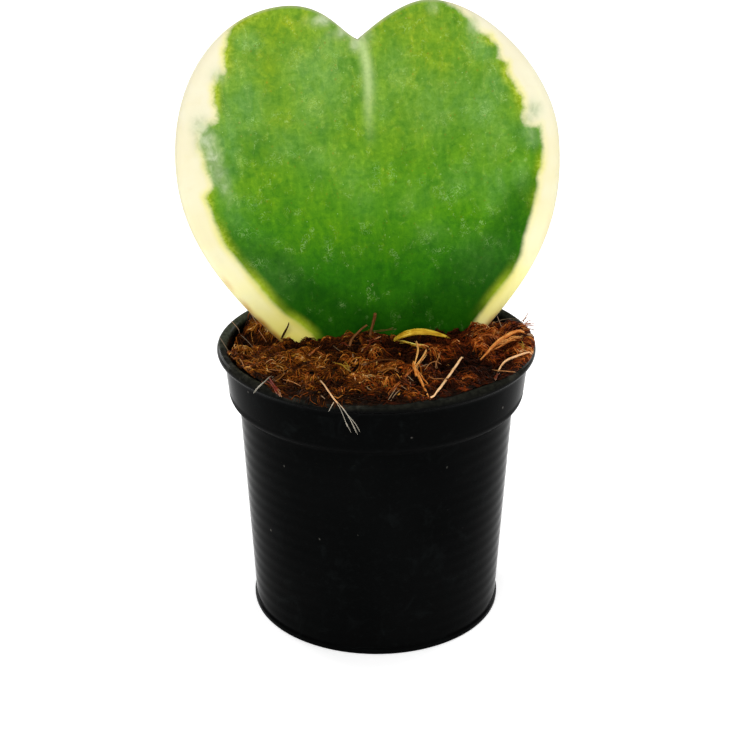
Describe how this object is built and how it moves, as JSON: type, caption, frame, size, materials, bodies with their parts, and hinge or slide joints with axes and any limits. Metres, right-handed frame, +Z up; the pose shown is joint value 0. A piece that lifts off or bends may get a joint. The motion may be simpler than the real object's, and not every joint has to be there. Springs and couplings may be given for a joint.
{
  "type": "potted hoya plant",
  "caption": "Thick heart-shaped hoya leaf with cream margins, rooted upright in fibrous coir in a small round black nursery pot; stands on a shelf or table as a house plant.",
  "frame": {"origin": "centre of the pot's underside, on the plane that it stands on", "axes": "+Z up through the pot's centre, -Y towards the leaf's front face, +X to the right as the front is seen"},
  "size_m": [0.0909, 0.0769, 0.1462],
  "materials": {
    "pot_plastic": "thin black moulded plastic, satin, fine rings and dust",
    "coir_mix": "loose brown coconut coir and peat, matt, fibrous",
    "leaf_flesh": "waxy green leaf with cream margins, satin",
    "husk": "dry golden husk, matt",
    "husk_orange": "dry orange husk fibre, matt",
    "twig": "dry brown twig, matt",
    "straw": "dry pale straw, slightly glossy"
  },
  "bodies": {
    "root": {"pot": "pot_plastic", "soil": "coir_mix", "leaf": "leaf_flesh", "husk_curl": "husk", "husk_splinter": "husk_orange", "twig_bent": "twig", "twig_stub": "twig", "root_arch": "husk_orange", "straw_long": "straw", "straw_rim": "straw", "strand_front": "straw", "strand_left": "straw"}
  },
  "joints": []
}
